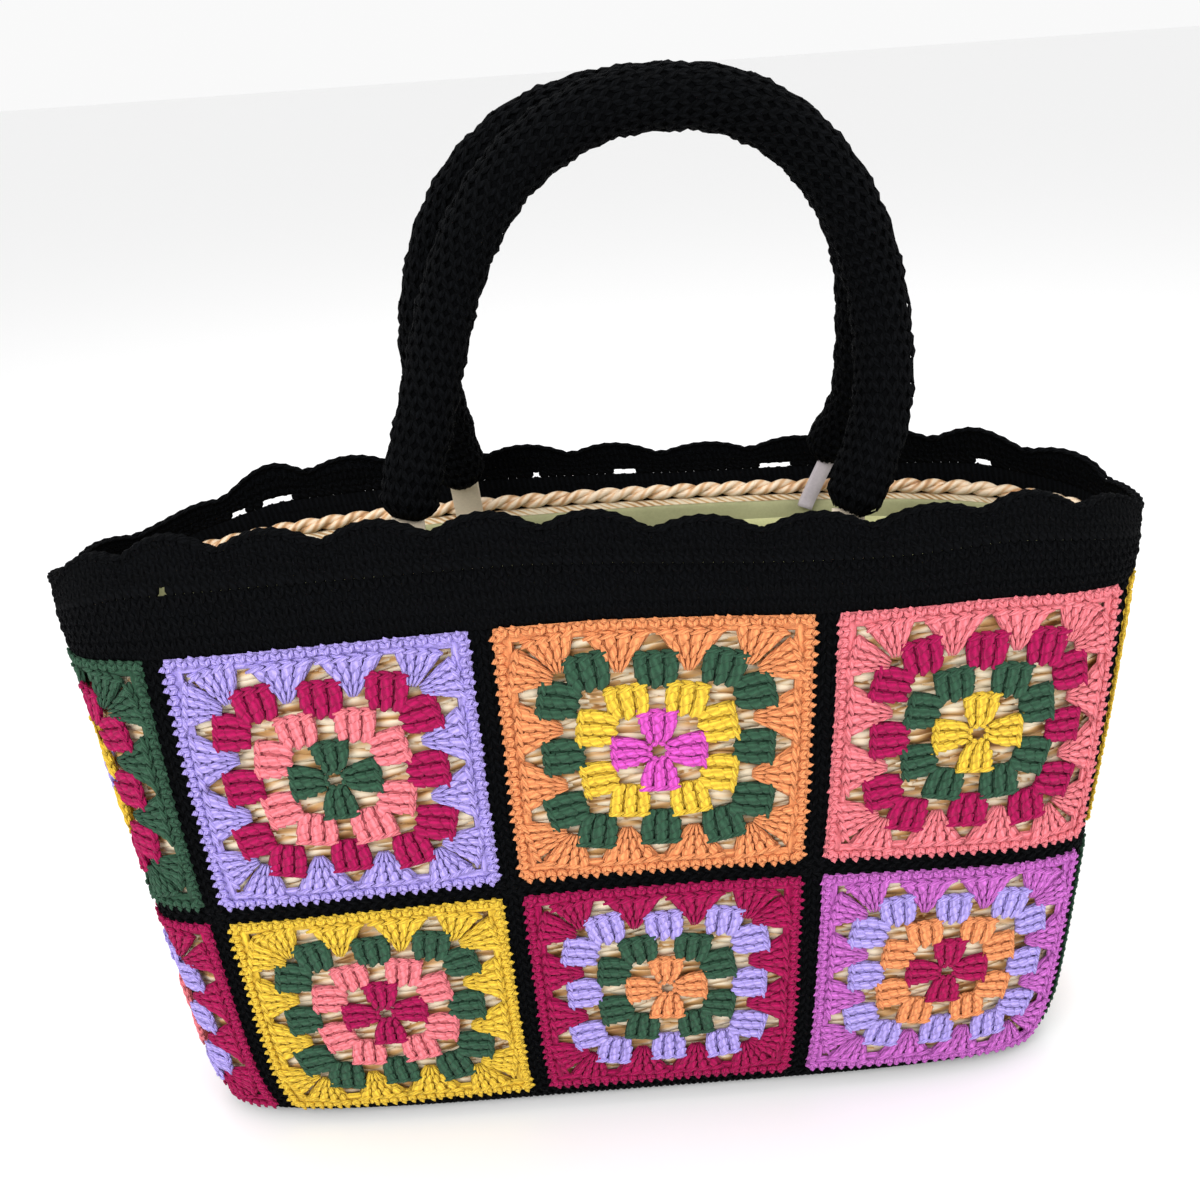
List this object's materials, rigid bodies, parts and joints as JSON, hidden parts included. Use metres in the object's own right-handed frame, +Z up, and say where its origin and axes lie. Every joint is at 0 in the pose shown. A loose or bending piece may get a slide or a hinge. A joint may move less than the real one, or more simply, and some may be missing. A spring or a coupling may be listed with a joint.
{
  "type": "handbag",
  "caption": "Open-topped crochet handbag: granny squares joined in black over a straw basket, with a scalloped edge, a cloth lining and padded crochet handles.",
  "frame": {"origin": "middle of the base's underside, on the floor", "axes": "+X along the bag towards its right end as seen from the front, +Y from front to back, +Z up"},
  "size_m": [0.445, 0.128, 0.4479],
  "materials": {
    "straw": "glossy twisted straw, plaited",
    "straw_edge": "plaited straw rope",
    "lining": "plain woven cotton",
    "pocket": "plain woven cotton",
    "black_crochet": "single crochet in matt yarn",
    "cream_webbing": "woven tape",
    "grey_webbing": "woven tape, folded",
    "lavender_yarn": "granny square in worsted yarn, outer round of this colour",
    "yellow_yarn": "granny square in worsted yarn, outer round of this colour",
    "orange_yarn": "granny square in worsted yarn, outer round of this colour",
    "raspberry_yarn": "granny square in worsted yarn, outer round of this colour",
    "salmon_yarn": "granny square in worsted yarn, outer round of this colour",
    "orchid_yarn": "granny square in worsted yarn, outer round of this colour",
    "green_yarn": "granny square in worsted yarn, outer round of this colour"
  },
  "bodies": {
    "root": {"straw_basket": "straw", "straw_rim": "straw_edge", "lining": "lining", "inner_pocket": "pocket", "base_panel": "black_crochet", "black_joins": "black_crochet", "top_band": "black_crochet", "shell_edge": "black_crochet", "handle_front": "black_crochet", "handle_back": "black_crochet", "strap_front_left": "cream_webbing", "strap_front_right": "cream_webbing", "strap_back_left": "cream_webbing", "strap_back_right": "grey_webbing", "square_front_left_top": "lavender_yarn", "square_front_left_low": "yellow_yarn", "square_front_middle_top": "orange_yarn", "square_front_middle_low": "raspberry_yarn", "square_front_right_top": "salmon_yarn", "square_front_right_low": "orchid_yarn", "square_right_end_top": "yellow_yarn", "square_right_end_low": "green_yarn", "square_back_right_top": "lavender_yarn", "square_back_right_low": "salmon_yarn", "square_back_middle_top": "raspberry_yarn", "square_back_middle_low": "orange_yarn", "square_back_left_top": "orchid_yarn", "square_back_left_low": "yellow_yarn", "square_left_end_top": "green_yarn", "square_left_end_low": "raspberry_yarn"}
  },
  "joints": []
}
